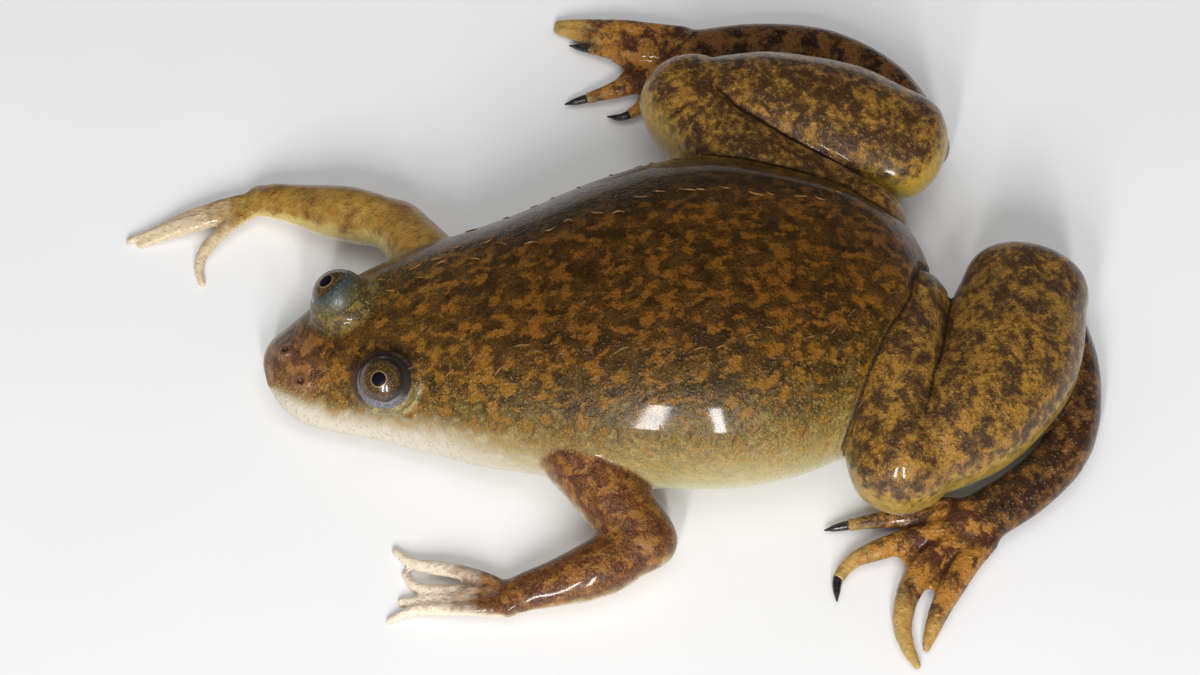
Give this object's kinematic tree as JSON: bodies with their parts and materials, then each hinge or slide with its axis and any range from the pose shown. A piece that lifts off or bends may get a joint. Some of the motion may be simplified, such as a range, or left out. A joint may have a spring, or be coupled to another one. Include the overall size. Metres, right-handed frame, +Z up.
{
  "type": "african clawed frog",
  "caption": "Life-size still model of an African clawed frog lying flat on the floor, hind legs folded, feet spread.",
  "frame": {"origin": "on the floor, under the middle of the frog's bounding box", "axes": "+Z up, the frog faces -Y, its left side is +X"},
  "size_m": [0.1148, 0.1282, 0.0248],
  "materials": {
    "frog_skin": "wet, glossy, mottled olive brown over ochre",
    "frog_eye": "wet and glossy, bronze iris",
    "frog_claw": "black horn, satin"
  },
  "bodies": {
    "root": {"head": "frog_skin", "torso": "frog_skin", "eye_l": "frog_eye", "eye_r": "frog_eye", "upper_arm_l": "frog_skin", "upper_arm_r": "frog_skin", "forearm_l": "frog_skin", "forearm_r": "frog_skin", "hand_l": "frog_skin", "hand_r": "frog_skin", "thigh_l": "frog_skin", "thigh_r": "frog_skin", "shank_l": "frog_skin", "shank_r": "frog_skin", "tarsus_l": "frog_skin", "tarsus_r": "frog_skin", "foot_l": "frog_skin", "foot_r": "frog_skin", "claw_1_l": "frog_claw", "claw_2_l": "frog_claw", "claw_3_l": "frog_claw", "claw_1_r": "frog_claw", "claw_2_r": "frog_claw", "claw_3_r": "frog_claw"}
  },
  "joints": []
}
